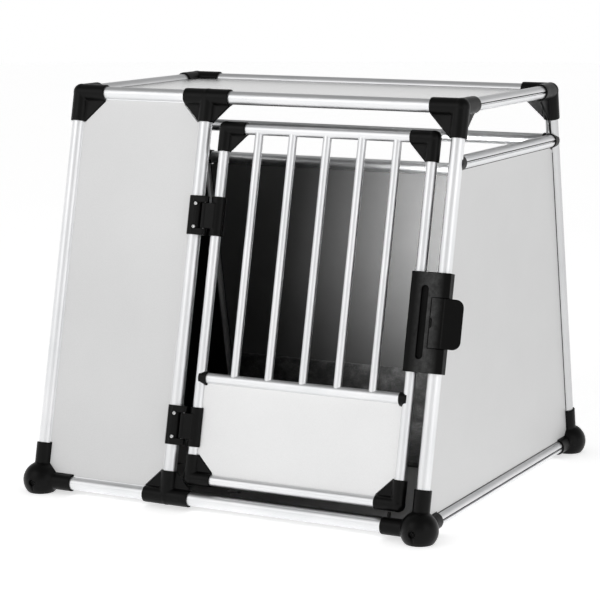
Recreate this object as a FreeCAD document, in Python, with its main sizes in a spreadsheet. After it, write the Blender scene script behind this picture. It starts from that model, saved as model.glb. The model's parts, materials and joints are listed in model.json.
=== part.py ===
"""Aluminium tube dog travel crate with a barred front door.

X runs to the right, Y to the rear, Z up, in millimetres. The origin is on the
ground, midway between the four ball feet. The front and the rear lean inwards,
so each has a plane frame of its own: local x across, y up the slope, z outwards.
"""
import os
import math

import FreeCAD
import Part

Vector = FreeCAD.Vector
Placement = FreeCAD.Placement
Rotation = FreeCAD.Rotation

DIMENSIONS = {
    # frame, measured between tube axes
    "frame_width": 800.0,
    "frame_depth": 770.0,
    "frame_rise": 738.0,
    "front_inset": 168.0,
    "rear_inset": 151.0,
    "axis_height": 23.5,
    "post_offset": 117.0,
    "middle_drop": 99.5,
    "rear_panel_drop": 169.5,
    # tubes and their panel slots
    "tube_outer": 25.0,
    "tube_wall": 1.5,
    "slot_width": 5.0,
    "slot_depth": 7.0,
    "slot_margin": 1.2,
    "groove_width": 3.5,
    "groove_depth": 3.0,
    # moulded connectors
    "socket_outer": 32.0,
    "heart_margin": 0.6,
    "ball_outer": 70.0,
    "foot_reach": 72.0,
    "foot_bore": 38.0,
    "corner_reach": 57.0,
    "corner_bore": 18.0,
    "tee_reach": 48.0,
    "tee_bore": 16.0,
    "web_thickness": 5.5,
    "flange_outer": 29.0,
    "flange_reach": 18.5,
    # panels and floor mat
    "panel_thickness": 4.0,
    "panel_gap": 6.0,
    "mat_thickness": 9.0,
    "mat_front": 20.0,
    "mat_rise": 128.5,
    # door
    "door_left": 71.0,
    "door_right": 354.0,
    "door_bottom": 40.0,
    "door_middle": 228.5,
    "door_top": 699.0,
    "door_tube": 20.0,
    "door_slot": 5.5,
    "door_socket": 26.5,
    "door_reach": 44.0,
    "door_bore": 14.0,
    "door_web": 5.0,
    "door_flange": 25.0,
    "bar_outer": 16.0,
    "bar_wall": 1.5,
    # hinges
    "hinge_length": 74.0,
    "knuckle_length": 48.0,
    "knuckle_outer": 13.0,
    "pin_outer": 5.0,
    "clamp_outer": 31.0,
    "leaf_outer": 28.0,
    "running_gap": 0.05,
    # latch
    "latch_length": 180.0,
    "latch_width": 76.0,
    "latch_crown": 160.0,
    "latch_slot": 14.0,
    "latch_slot_travel": 118.0,
    "lever_length": 90.0,
    "lever_thickness": 3.0,
    "wing_thickness": 3.5,
    "wing_corner": 15.0,
    "wing_reach": 36.0,
}
D = DIMENSIONS

doc = FreeCAD.newDocument("dog_crate")
sheet = doc.addObject("Spreadsheet::Sheet", "Dims")
for row, (alias, value) in enumerate(DIMENSIONS.items(), start=1):
    sheet.set(f"A{row}", alias)
    sheet.set(f"B{row}", str(value))
    sheet.setAlias(f"B{row}", alias)
doc.recompute()

HALF_WIDTH = D["frame_width"] / 2
HALF_DEPTH = D["frame_depth"] / 2
TOP_HEIGHT = D["axis_height"] + D["frame_rise"]
FRONT_SLOPE = math.hypot(D["frame_rise"], D["front_inset"])
REAR_SLOPE = math.hypot(D["frame_rise"], D["rear_inset"])
FRONT_TOP_Y = -HALF_DEPTH + D["front_inset"]
REAR_TOP_Y = HALF_DEPTH - D["rear_inset"]
MIDDLE_RISE = D["frame_rise"] - D["middle_drop"]
POST_X = -D["post_offset"]
STILE_X = (-D["door_left"], D["door_right"])
HINGE_X = (POST_X - D["door_left"]) / 2
HINGE_OUT = 10.0
HINGE_HEIGHTS = (135.0, 531.5)
BAR_COUNT = 5
TUBE_RADIUS = D["tube_outer"] / 2
DOOR_RADIUS = D["door_tube"] / 2

FRONT_LENGTH = "sqrt(Dims.frame_rise ^ 2 + Dims.front_inset ^ 2)"
REAR_LENGTH = "sqrt(Dims.frame_rise ^ 2 + Dims.rear_inset ^ 2)"
DOOR_WIDTH = "(Dims.door_left + Dims.door_right)"
TOP_DEPTH = "(Dims.frame_depth - Dims.front_inset - Dims.rear_inset)"

RIGHT = Vector(1, 0, 0)
BACK = Vector(0, 1, 0)
UP = Vector(0, 0, 1)
FRONT_UP = Vector(0, D["front_inset"], D["frame_rise"]).normalize()
REAR_UP = Vector(0, -D["rear_inset"], D["frame_rise"]).normalize()

subparts = {}


# ---------------------------------------------------------------- helpers
def plane_frame(origin, across, upward):
    """A placement with x across, y upward in the plane and z out of it."""
    return Placement(origin, Rotation(across, upward, across.cross(upward), "ZXY"))


FRONT = plane_frame(Vector(0, -HALF_DEPTH, D["axis_height"]), RIGHT, FRONT_UP)
REAR = plane_frame(Vector(0, HALF_DEPTH, D["axis_height"]), -RIGHT, REAR_UP)
BASE = plane_frame(Vector(0, 0, D["axis_height"]), RIGHT, BACK)
ROOF = plane_frame(Vector(0, 0, TOP_HEIGHT), RIGHT, BACK)
RIGHT_SIDE = plane_frame(Vector(HALF_WIDTH, 0, D["axis_height"]), BACK, UP)
LEFT_SIDE = plane_frame(Vector(-HALF_WIDTH, 0, D["axis_height"]), -BACK, UP)
WORLD = Placement()
X_AXIS = Vector(1, 0, 0)
Y_AXIS = Vector(0, 1, 0)
Z_AXIS = Vector(0, 0, 1)


def local(frame, x, y, z=0.0):
    """A point of a plane frame in the crate's coordinates."""
    return frame.multVec(Vector(x, y, z))


def turned(frame, direction):
    """A direction of a plane frame in the crate's coordinates."""
    return frame.Rotation.multVec(direction)


def pointing(base, direction, side=None):
    """A placement at base whose z runs along direction and x towards side."""
    if side is None:
        side = X_AXIS if abs(direction.x) < 0.9 else Y_AXIS
    return Placement(base, Rotation(side, direction.cross(side), direction, "ZXY"))


def bind(thing, **expressions):
    for name, text in expressions.items():
        thing.setExpression(name, text)
    return thing


def cylinder(radius, height, placement):
    thing = doc.addObject("Part::Cylinder", "cylinder")
    thing.Placement = placement
    return bind(thing, Radius=radius, Height=height)


def box(length, width, height, placement):
    thing = doc.addObject("Part::Box", "box")
    thing.Placement = placement
    return bind(thing, Length=length, Width=width, Height=height)


def frame_box(frame, low, high):
    """A box between two corners given in a plane frame."""
    sizes = [f"{top - bottom:.3f}" for bottom, top in zip(low, high)]
    return box(*sizes, Placement(local(frame, *low), frame.Rotation))


def sphere(radius, centre):
    thing = doc.addObject("Part::Sphere", "sphere")
    thing.Placement = Placement(centre, Rotation())
    return bind(thing, Radius=radius)


def fuse(*things):
    if len(things) == 1:
        return things[0]
    thing = doc.addObject("Part::MultiFuse", "fuse")
    thing.Shapes = list(things)
    return thing


def cut(base, *tools):
    thing = doc.addObject("Part::Cut", "cut")
    thing.Base = base
    thing.Tool = fuse(*tools)
    return thing


def common(first, second):
    thing = doc.addObject("Part::Common", "common")
    thing.Base = first
    thing.Tool = second
    return thing


def group(*things):
    thing = doc.addObject("Part::Compound", "group")
    thing.Links = list(things)
    return thing


def slab(name, frame, points, thickness, low):
    """A flat plate padded from its outline, its lower face at low in the plane frame."""
    body = doc.addObject("PartDesign::Body", f"{name}_body")
    sketch = body.newObject("Sketcher::SketchObject", f"{name}_sketch")
    plane = [item for item in body.Origin.OriginFeatures if item.Role == "XY_Plane"][0]
    sketch.AttachmentSupport = [(plane, "")]
    sketch.MapMode = "FlatFace"
    for index, point in enumerate(points):
        sketch.addGeometry(Part.LineSegment(point, points[(index + 1) % len(points)]))
    pad = body.newObject("PartDesign::Pad", f"{name}_pad")
    pad.Profile = sketch
    pad.setExpression("Length", thickness)
    body.Tip = pad
    body.Placement = Placement(local(frame, 0, 0, low), frame.Rotation)
    return body


def keep(label, thing):
    """Gives a finished sub-part its label, which is its node's name."""
    thing.Label = label
    subparts[label] = thing
    return thing


# ---------------------------------------------------------------- tubes
def tube(label, start, direction, length, outer="tube_outer", wall="tube_wall",
         slots=(), grooves=(), copes=(), depth="slot_depth"):
    """A tube from start, with panel slots and outward grooves along its length.

    copes are the solids that the tube's ends are shaped to.
    """
    place = pointing(start, direction)
    radius = f"Dims.{outer} / 2"
    outside = cylinder(radius, length, place)
    inside = cylinder(f"{radius} - Dims.{wall}", length, place)
    shell = cut(outside, inside)
    kinds = [(side, "slot_width", depth) for side in slots]
    kinds += [(side, "groove_width", "groove_depth") for side in grooves]
    channels = []
    openings = []
    for side, width, deep in kinds:
        turn = pointing(start, direction, side)
        half_channel = D[width] / 2 + D["slot_margin"]
        reach = math.sqrt((D[outer] / 2) ** 2 - half_channel ** 2) - 0.04
        floor = D[outer] / 2 - D[deep]
        inner = Vector(floor - D["slot_margin"], -half_channel, 0)
        channels.append(box(
            f"{reach} - (Dims.{outer} / 2 - Dims.{deep} - Dims.slot_margin)",
            f"Dims.{width} + 2 * Dims.slot_margin", length,
            turn.multiply(Placement(inner, Rotation()))))
        mouth = Vector(floor, -D[width] / 2, -1)
        openings.append(box(
            f"Dims.{deep} + 2", f"Dims.{width}", f"{length} + 2",
            turn.multiply(Placement(mouth, Rotation()))))
    solid = fuse(shell, *channels)
    tools = openings + list(copes)
    if tools:
        solid = cut(solid, *tools)
    return keep(label, solid) if label else solid


def upright_cylinder(frame, x, radius):
    """A cylinder along a slope, used to cope the rails that meet it."""
    start = local(frame, x, -20)
    return cylinder(radius, f"{FRONT_LENGTH} + 40", pointing(start, turned(frame, Y_AXIS)))


# ---------------------------------------------------------------- connectors
def web(centre, first, second, reach, socket, thickness):
    """A triangular web between two sockets, level with their ends."""
    angle = first.getAngle(second)
    upward = (second - first * first.dot(second)).normalize()
    frame = plane_frame(centre, first, upward)
    radius = D[socket] / 2
    far = Vector(math.cos(angle), math.sin(angle), 0) * D[reach]
    towards_first = Vector(math.sin(angle), -math.cos(angle), 0) * radius
    points = [Vector(0, 0, 0), Vector(D[reach], 0, 0), Vector(D[reach], radius, 0),
              far + towards_first, far]
    return slab("web", frame, points, f"Dims.{thickness}", -D[thickness] / 2)


def connector(centre, arms, reach, bore, socket="socket_outer", tube_size="tube_outer",
              heart=None, webs=(), thickness="web_thickness"):
    """A moulded connector: a heart with one socket for each arm."""
    radius = f"Dims.{socket} / 2"
    pieces = [sphere(heart or f"{radius} + Dims.heart_margin", centre)]
    holes = []
    for arm in arms:
        pieces.append(cylinder(radius, f"Dims.{reach}", pointing(centre, arm)))
        start = centre + arm * D[bore]
        holes.append(cylinder(f"Dims.{tube_size} / 2", f"Dims.{reach} - Dims.{bore} + 20",
                              pointing(start, arm)))
    pieces += [web(centre, arms[one], arms[two], reach, socket, thickness)
               for one, two in webs]
    return cut(fuse(*pieces), *holes)


def feet():
    """Four ball feet with a flat sole and a keyhole recess for a screw."""
    screws = []
    for row, y, upward in (("front", -HALF_DEPTH, FRONT_UP), ("rear", HALF_DEPTH, REAR_UP)):
        outward = -BACK if y < 0 else BACK
        for side, x in (("left", -HALF_WIDTH), ("right", HALF_WIDTH)):
            centre = Vector(x, y, D["axis_height"])
            inward = RIGHT if x < 0 else -RIGHT
            ball = connector(centre, (inward, -outward, upward), "foot_reach", "foot_bore",
                             heart="Dims.ball_outer / 2")
            sole = box("200", "200", "60",
                       Placement(Vector(x - 100, y - 100, -60), Rotation()))
            face = centre + outward * (D["ball_outer"] / 2 - 7)
            recess = cylinder("6.5", "12", pointing(face, outward))
            slot = box("4", "14", "60", Placement(face + Vector(-2, -7, -60) + outward * 9,
                                                  Rotation()))
            keep(f"foot_{row}_{side}", cut(ball, sole, recess, slot))
            screws.append(cylinder("3.6", "3", pointing(face, outward)))
    return screws


def top_corners():
    for row, y, downward in (("front", FRONT_TOP_Y, -FRONT_UP), ("rear", REAR_TOP_Y, -REAR_UP)):
        inward = BACK if y < 0 else -BACK
        for side, x in (("left", -HALF_WIDTH), ("right", HALF_WIDTH)):
            across = RIGHT if x < 0 else -RIGHT
            centre = Vector(x, y, TOP_HEIGHT)
            keep(f"corner_top_{row}_{side}",
                 connector(centre, (across, inward, downward), "corner_reach", "corner_bore",
                           webs=((0, 1), (0, 2), (1, 2))))


def tees():
    for name, height, leg in (("bottom", 0.0, FRONT_UP), ("top", FRONT_SLOPE, -FRONT_UP)):
        centre = local(FRONT, POST_X, height)
        keep(f"tee_post_{name}",
             connector(centre, (RIGHT, -RIGHT, leg), "tee_reach", "tee_bore",
                       webs=((0, 2), (1, 2))))


# ---------------------------------------------------------------- frame tubes
def front_tubes():
    """Rails and uprights of the leaning front."""
    half = "Dims.frame_width / 2"
    left_foot = -HALF_WIDTH + D["foot_bore"]
    left_corner = -HALF_WIDTH + D["corner_bore"]
    tee_left = POST_X - D["tee_bore"]
    tee_right = POST_X + D["tee_bore"]
    left_span = f"{half} - Dims.post_offset - Dims.tee_bore"
    right_span = f"{half} + Dims.post_offset - Dims.tee_bore"
    foot_y = -HALF_DEPTH
    low = D["axis_height"]
    tube("rail_bottom_front_left", Vector(left_foot, foot_y, low), RIGHT,
         f"{left_span} - Dims.foot_bore", slots=(FRONT_UP, BACK))
    tube("rail_bottom_front_right", Vector(tee_right, foot_y, low), RIGHT,
         f"{right_span} - Dims.foot_bore", slots=(BACK,))
    tube("rail_top_front_left", Vector(left_corner, FRONT_TOP_Y, TOP_HEIGHT), RIGHT,
         f"{left_span} - Dims.corner_bore", slots=(-FRONT_UP, BACK))
    tube("rail_top_front_right", Vector(tee_right, FRONT_TOP_Y, TOP_HEIGHT), RIGHT,
         f"{right_span} - Dims.corner_bore", slots=(BACK,))
    inner = -turned(FRONT, Z_AXIS)
    long = f"{FRONT_LENGTH} - Dims.foot_bore - Dims.corner_bore"
    tube("upright_front_left", local(FRONT, -HALF_WIDTH, D["foot_bore"]), FRONT_UP, long,
         slots=(RIGHT, inner))
    tube("upright_front_right", local(FRONT, HALF_WIDTH, D["foot_bore"]), FRONT_UP, long,
         slots=(inner,))
    tube("upright_door_post", local(FRONT, POST_X, D["tee_bore"]), FRONT_UP,
         f"{FRONT_LENGTH} - 2 * Dims.tee_bore", slots=(-RIGHT,))


def rear_tubes():
    """Rails and uprights of the leaning rear."""
    foot = Vector(-HALF_WIDTH + D["foot_bore"], HALF_DEPTH, D["axis_height"])
    tube("rail_bottom_rear", foot, RIGHT, "Dims.frame_width - 2 * Dims.foot_bore",
         slots=(REAR_UP, -BACK))
    corner = Vector(-HALF_WIDTH + D["corner_bore"], REAR_TOP_Y, TOP_HEIGHT)
    tube("rail_top_rear", corner, RIGHT, "Dims.frame_width - 2 * Dims.corner_bore", slots=(-BACK,))
    inner = -turned(REAR, Z_AXIS)
    for side, x, inward in (("left", HALF_WIDTH, RIGHT), ("right", -HALF_WIDTH, -RIGHT)):
        tube(f"upright_rear_{side}", local(REAR, x, D["foot_bore"]), REAR_UP,
             f"{REAR_LENGTH} - Dims.foot_bore - Dims.corner_bore", slots=(inward, inner))
    slope = REAR_SLOPE / D["frame_rise"]
    for name, drop, slots in (("rail_middle_rear", "middle_drop", ()),
                              ("rail_panel_rear", "rear_panel_drop", (-REAR_UP,))):
        height = (D["frame_rise"] - D[drop]) * slope
        ends = [upright_cylinder(REAR, x, "Dims.tube_outer / 2") for x in (-HALF_WIDTH, HALF_WIDTH)]
        ends += [mitre(local(REAR, HALF_WIDTH, height), RIGHT, -BACK),
                 mitre(local(REAR, -HALF_WIDTH, height), -RIGHT, -BACK)]
        tube(name, local(REAR, HALF_WIDTH, height), RIGHT, "Dims.frame_width",
             slots=slots, copes=ends)


def middle_y():
    """Where the middle side rails' axes meet the uprights."""
    front = -HALF_DEPTH + MIDDLE_RISE * D["front_inset"] / D["frame_rise"]
    rear = HALF_DEPTH - MIDDLE_RISE * D["rear_inset"] / D["frame_rise"]
    return front, rear


def side_tubes():
    front_y, rear_y = middle_y()
    middle = D["axis_height"] + MIDDLE_RISE
    share = "(Dims.frame_rise - Dims.middle_drop) / Dims.frame_rise"
    middle_length = f"Dims.frame_depth - (Dims.front_inset + Dims.rear_inset) * {share}"
    for side, x in (("left", -HALF_WIDTH), ("right", HALF_WIDTH)):
        inward = RIGHT if x < 0 else -RIGHT
        tube(f"rail_bottom_{side}", Vector(x, -HALF_DEPTH + D["foot_bore"], D["axis_height"]),
             BACK, "Dims.frame_depth - 2 * Dims.foot_bore", slots=(UP, inward), grooves=(-inward,))
        tube(f"rail_top_{side}", Vector(x, FRONT_TOP_Y + D["corner_bore"], TOP_HEIGHT),
             BACK, f"{TOP_DEPTH} - 2 * Dims.corner_bore", slots=(inward,), grooves=(-inward,))
        ends = [upright_cylinder(FRONT, x, "Dims.tube_outer / 2"),
                upright_cylinder(REAR, -x, "Dims.tube_outer / 2"),
                mitre(Vector(x, rear_y, middle), -BACK, inward)]
        tube(f"rail_middle_{side}", Vector(x, front_y, middle), BACK, middle_length,
             slots=(-UP,), grooves=(-inward,), copes=ends)


def mitre(centre, along, across):
    """A block that takes away what lies further across than along, where two rails meet."""
    place = pointing(centre, (across - along).normalize())
    return box("80", "80", "40", place.multiply(Placement(Vector(-40, -40, 0), Rotation())))


def flange(centre, direction, reach, outer, bore, *tools):
    """A thin moulded ring round a rail's end, shaped to the upright."""
    ring = cylinder(f"Dims.{outer} / 2", reach, pointing(centre, direction))
    hole = cylinder(f"Dims.{bore} / 2", f"{reach} + 2",
                    pointing(centre - direction, direction))
    return cut(ring, hole, *tools)


def frame_flanges():
    front_y, rear_y = middle_y()
    middle = D["axis_height"] + MIDDLE_RISE
    rings = []
    for x in (-HALF_WIDTH, HALF_WIDTH):
        inward = RIGHT if x < 0 else -RIGHT
        for y, away, frame, across in ((front_y, BACK, FRONT, x), (rear_y, -BACK, REAR, -x)):
            centre = Vector(x, y, middle)
            rings.append(flange(centre, away, "Dims.flange_reach", "flange_outer", "tube_outer",
                                upright_cylinder(frame, across, "Dims.tube_outer / 2"),
                                mitre(centre, away, inward)))
        for drop in ("middle_drop", "rear_panel_drop"):
            height = (D["frame_rise"] - D[drop]) * REAR_SLOPE / D["frame_rise"]
            centre = local(REAR, -x, height)
            rings.append(flange(centre, inward, "Dims.flange_reach", "flange_outer", "tube_outer",
                                upright_cylinder(REAR, -x, "Dims.tube_outer / 2"),
                                mitre(centre, inward, -BACK)))
    keep("rail_end_flanges", group(*rings))


# ---------------------------------------------------------------- panels
def outline(vertices, corners, edges=None):
    """A panel's outline inside a frame of tubes.

    vertices are where tube axes cross, counter-clockwise. Each corner is a list of
    (distance along the tube, distance in from its axis) pairs, used on both of its
    sides, far to near. edges holds such pairs for cut-outs along one edge.
    """
    edges = edges or {}
    count = len(vertices)
    points = []
    for index, (x, y) in enumerate(vertices):
        before = vertices[index - 1]
        after = vertices[(index + 1) % count]
        back = Vector(x - before[0], y - before[1], 0).normalize()
        ahead = Vector(after[0] - x, after[1] - y, 0).normalize()
        here = Vector(x, y, 0)
        coming, going = corners[index]
        for along, off in coming:
            points.append(here - back * along + Z_AXIS.cross(back) * off)
        for along, off in reversed(going):
            points.append(here + ahead * along + Z_AXIS.cross(ahead) * off)
        for along, off in edges.get(index, ()):
            points.append(here + ahead * along + Z_AXIS.cross(ahead) * off)
    return points


def plate(label, frame, points, thickness, low):
    return keep(label, slab(label, frame, points, thickness, low))


def symmetric(pairs):
    return (pairs, pairs)


def panels():
    gap = D["panel_gap"]
    socket = D["socket_outer"] / 2 + 1.0
    foot = symmetric([(D["foot_reach"] + 2, gap), (D["foot_reach"] + 2, socket),
                      (2 * socket - 1, socket)])
    corner = symmetric([(D["corner_reach"] + 1, gap), (D["corner_reach"] + 1, socket)])
    tee = symmetric([(D["tee_reach"] + 1, gap), (D["tee_reach"] + 1, socket)])
    ring = D["flange_outer"] / 2 + 1.0
    rail_side = [(D["flange_reach"] + 1, gap), (D["flange_reach"] + 1, ring)]
    post_side = [(ring + 3, gap)]
    half = D["panel_thickness"] / 2

    front = [(-HALF_WIDTH, 0), (POST_X, 0), (POST_X, FRONT_SLOPE), (-HALF_WIDTH, FRONT_SLOPE)]
    plate("panel_front_left", FRONT, outline(front, (foot, tee, tee, corner)),
          "Dims.panel_thickness", -half)

    front_y, rear_y = middle_y()
    side = [(-HALF_DEPTH, 0), (HALF_DEPTH, 0), (rear_y, MIDDLE_RISE), (front_y, MIDDLE_RISE)]
    side_corners = (foot, foot, (post_side, rail_side), (rail_side, post_side))
    plate("panel_right", RIGHT_SIDE, outline(side, side_corners), "Dims.panel_thickness", -half)
    mirrored = [(-y, z) for y, z in (side[1], side[0], side[3], side[2])]
    plate("panel_left", LEFT_SIDE, outline(mirrored, side_corners), "Dims.panel_thickness", -half)

    height = (D["frame_rise"] - D["rear_panel_drop"]) * REAR_SLOPE / D["frame_rise"]
    rear = [(-HALF_WIDTH, 0), (HALF_WIDTH, 0), (HALF_WIDTH, height), (-HALF_WIDTH, height)]
    plate("panel_rear", REAR, outline(rear, side_corners), "Dims.panel_thickness", -half)

    notch = [(HALF_WIDTH + POST_X - D["tee_reach"] - 1, gap),
             (HALF_WIDTH + POST_X - D["tee_reach"] - 1, socket),
             (HALF_WIDTH + POST_X + D["tee_reach"] + 1, socket),
             (HALF_WIDTH + POST_X + D["tee_reach"] + 1, gap)]
    roof = [(-HALF_WIDTH, FRONT_TOP_Y), (HALF_WIDTH, FRONT_TOP_Y),
            (HALF_WIDTH, REAR_TOP_Y), (-HALF_WIDTH, REAR_TOP_Y)]
    plate("panel_roof", ROOF, outline(roof, (corner,) * 4, {0: notch}),
          "Dims.panel_thickness", -half)
    floor = [(-HALF_WIDTH, -HALF_DEPTH), (HALF_WIDTH, -HALF_DEPTH),
             (HALF_WIDTH, HALF_DEPTH), (-HALF_WIDTH, HALF_DEPTH)]
    plate("panel_floor", BASE, outline(floor, (foot,) * 4, {0: notch}),
          "Dims.panel_thickness", -half)


def floor_mat():
    """A fleece mat on the rear half of the floor, turned up against the rear wall."""
    def wall(height, out):
        spot = local(REAR, 0, height, out)
        return Vector(spot.y, spot.z - D["axis_height"], 0)

    under = D["panel_thickness"] / 2
    top = under + D["mat_thickness"]
    back = -under - 0.5
    face = back - D["mat_thickness"]
    rear = HALF_DEPTH - TUBE_RADIUS - 2
    section = [Vector(D["mat_front"], under, 0), Vector(rear, under, 0), Vector(rear, top - 2, 0),
               wall(TUBE_RADIUS + 1.5, back), wall(D["mat_rise"], back),
               wall(D["mat_rise"], face), wall(3 * D["mat_thickness"], face),
               Vector(rear - 13, top + 1.5, 0), Vector(rear - 21, top, 0),
               Vector(D["mat_front"], top, 0)]
    margin = 20.0
    roll = slab("mat", RIGHT_SIDE, section, f"Dims.frame_width - {2 * margin}",
                margin - 2 * HALF_WIDTH)
    room = []
    for x, inward in ((-HALF_WIDTH, RIGHT), (HALF_WIDTH, -RIGHT)):
        foot = Vector(x, HALF_DEPTH, D["axis_height"])
        room.append(sphere("Dims.ball_outer / 2 + 2", foot))
        room.append(cylinder("Dims.socket_outer / 2 + 2", "Dims.foot_reach + 3",
                             pointing(foot, inward)))
    keep("floor_mat", cut(roll, *room))


def sill():
    """The black strip on the door sill and the peg that the closed door rests on."""
    left = POST_X + D["tee_reach"] + 2
    right = HALF_WIDTH - D["foot_reach"] - 2
    strip = frame_box(FRONT, (left, TUBE_RADIUS - 0.6, -2), (right, TUBE_RADIUS + 3, 2))
    peg = cylinder("3", "12.4", pointing(local(FRONT, 339, TUBE_RADIUS + 0.5), FRONT_UP))
    foot = cylinder("Dims.socket_outer / 2", "Dims.foot_reach",
                    pointing(local(FRONT, HALF_WIDTH, 0), -RIGHT))
    keep("door_sill", cut(fuse(strip, peg), upright_free_rail(), foot))


def upright_free_rail():
    """The whole round of the sill rail, which the sill strip is shaped to."""
    return cylinder("Dims.tube_outer / 2", "Dims.frame_width",
                    pointing(Vector(-HALF_WIDTH, -HALF_DEPTH, D["axis_height"]), RIGHT))


# ---------------------------------------------------------------- door
def door_frame():
    span = f"{DOOR_WIDTH} - 2 * Dims.door_bore"
    rise = "Dims.door_top - Dims.door_bottom - 2 * Dims.door_bore"
    left, right = STILE_X
    bars = door_bars()
    sizes = {"outer": "door_tube", "depth": "door_slot"}
    for side, x, inward in (("left", left, RIGHT), ("right", right, -RIGHT)):
        tube(f"door_stile_{side}", local(FRONT, x, D["door_bottom"] + D["door_bore"]), FRONT_UP,
             rise, slots=(inward,), **sizes)
    tube("door_rail_bottom", local(FRONT, left + D["door_bore"], D["door_bottom"]), RIGHT,
         span, slots=(FRONT_UP,), **sizes)
    tube("door_rail_top", local(FRONT, left + D["door_bore"], D["door_top"]), RIGHT,
         span, copes=(bars,), **sizes)
    ends = [upright_cylinder(FRONT, x, "Dims.door_tube / 2") for x in STILE_X]
    tube("door_rail_middle", local(FRONT, left, D["door_middle"]), RIGHT, DOOR_WIDTH,
         slots=(-FRONT_UP,), copes=(bars, *ends), **sizes)
    for level, height, upward in (("bottom", D["door_bottom"], FRONT_UP),
                                  ("top", D["door_top"], -FRONT_UP)):
        for side, x, inward in (("left", left, RIGHT), ("right", right, -RIGHT)):
            keep(f"door_corner_{level}_{side}",
                 connector(local(FRONT, x, height), (inward, upward), "door_reach", "door_bore",
                           socket="door_socket", tube_size="door_tube", webs=((0, 1),),
                           thickness="door_web"))
    rings = [flange(local(FRONT, x, D["door_middle"]), inward, "Dims.door_tube / 2 + 5",
                    "door_flange", "door_tube",
                    upright_cylinder(FRONT, x, "Dims.door_tube / 2"))
             for x, inward in ((left, RIGHT), (right, -RIGHT))]
    keep("door_rail_flanges", group(*rings))


def door_bars():
    """Hollow bars let into the middle and top rails; returns their whole rounds."""
    pitch = (STILE_X[1] - STILE_X[0]) / (BAR_COUNT + 1)
    inset = 5.0
    length = f"Dims.door_top - Dims.door_middle - {2 * inset}"
    bars = []
    rounds = []
    for number in range(1, BAR_COUNT + 1):
        foot = local(FRONT, STILE_X[0] + number * pitch, D["door_middle"] + inset)
        bars.append(tube(None, foot, FRONT_UP, length, outer="bar_outer", wall="bar_wall"))
        rounds.append(cylinder("Dims.bar_outer / 2", length, pointing(foot, FRONT_UP)))
    keep("door_bars", group(*bars))
    return group(*rounds)


def door_panel():
    gap = 5.0
    socket = D["door_socket"] / 2 + 0.7
    corner = symmetric([(D["door_reach"] + 1, gap), (D["door_reach"] + 1, socket)])
    ring = D["door_flange"] / 2 + 0.7
    rail_side = [(DOOR_RADIUS + 6, gap), (DOOR_RADIUS + 6, ring)]
    stile_side = [(ring + 2, gap)]
    left, right = STILE_X
    low, high = D["door_bottom"], D["door_middle"]
    points = outline([(left, low), (right, low), (right, high), (left, high)],
                     (corner, corner, (stile_side, rail_side), (rail_side, stile_side)))
    plate("door_panel", FRONT, points, "Dims.panel_thickness", -D["panel_thickness"] / 2)


# ---------------------------------------------------------------- hinges
def panel_room(left, right, height):
    """The gap in a hinge clamp for the panel beside its tube."""
    half = D["hinge_length"] / 2 + 1
    deep = D["panel_thickness"] / 2 + 0.3
    return frame_box(FRONT, (left, height - half, -deep), (right, height + half, deep))


def hinges():
    """Post clamps with two lugs each, door leaves with one knuckle, and pins."""
    half = D["hinge_length"] / 2
    knuckle = D["knuckle_length"] / 2
    radius = D["knuckle_outer"] / 2
    clamps = []
    leaves = []
    pins = []
    screws = []
    for height in HINGE_HEIGHTS:
        def rod(size, x, out, low, high):
            return cylinder(size, f"{high - low:.3f}",
                            pointing(local(FRONT, x, height + low, out), FRONT_UP))

        sleeve = rod("Dims.clamp_outer / 2", POST_X, 0, -half, half)
        face = frame_box(FRONT, (POST_X - 9, height - half, 0), (POST_X + 8, height + half, 14.6))
        lugs = []
        for low, high in ((-half, -knuckle - 0.4), (knuckle + 0.4, half)):
            lugs.append(rod("Dims.knuckle_outer / 2", HINGE_X, HINGE_OUT, low, high))
            lugs.append(frame_box(FRONT, (POST_X, height + low, HINGE_OUT - radius),
                                  (HINGE_X, height + high, HINGE_OUT + radius)))
        post = rod("Dims.tube_outer / 2", POST_X, 0, -half - 1, half + 1)
        bore = rod("Dims.pin_outer / 2", HINGE_X, HINGE_OUT, -half - 1, half + 1)
        pins.append(rod("Dims.pin_outer / 2", HINGE_X, HINGE_OUT, -half, half))
        recesses = []
        for drop in (-22.0, 22.0):
            spot = local(FRONT, POST_X + 4, height + drop, TUBE_RADIUS + 0.3)
            outward = turned(FRONT, Z_AXIS)
            recesses.append(cylinder("3.8", "12", pointing(spot, outward)))
            screws.append(cylinder("3", "2", pointing(spot, outward)))
        clamps.append(cut(fuse(sleeve, face, *lugs), post, bore, *recesses,
                          panel_room(POST_X - 20, POST_X - 4, height)))

        stile = STILE_X[0]
        wrap = rod("Dims.leaf_outer / 2", stile, 0, -half, half)
        barrel = rod("Dims.knuckle_outer / 2", HINGE_X, HINGE_OUT, -knuckle, knuckle)
        bridge = frame_box(FRONT, (HINGE_X, height - knuckle, HINGE_OUT - radius),
                           (stile, height + knuckle, HINGE_OUT + radius - 1))
        tube_hole = rod("Dims.door_tube / 2", stile, 0, -half - 1, half + 1)
        pin_hole = rod("Dims.pin_outer / 2 + Dims.running_gap", HINGE_X, HINGE_OUT,
                       -half - 1, half + 1)
        leaves.append(cut(fuse(wrap, barrel, bridge), tube_hole, pin_hole,
                          panel_room(stile + 4, stile + 20, height)))
    keep("hinge_post_clamps", group(*clamps))
    keep("hinge_door_leaves", group(*leaves))
    keep("hinge_pins", group(*pins))
    return screws


# ---------------------------------------------------------------- latch
LATCH_HEIGHT = 368.0
LATCH_LEFT = 343.0
LATCH_RIGHT = LATCH_LEFT + D["latch_width"]
LATCH_FACE = 20.0
LATCH_BACK = -3.0
PIVOT_X = 389.6
PIVOT_OUT = 18.3
PIN_RADIUS = 0.9
WING_START = (412.0, 17.4)
WING_TILT = -33.5


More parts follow.
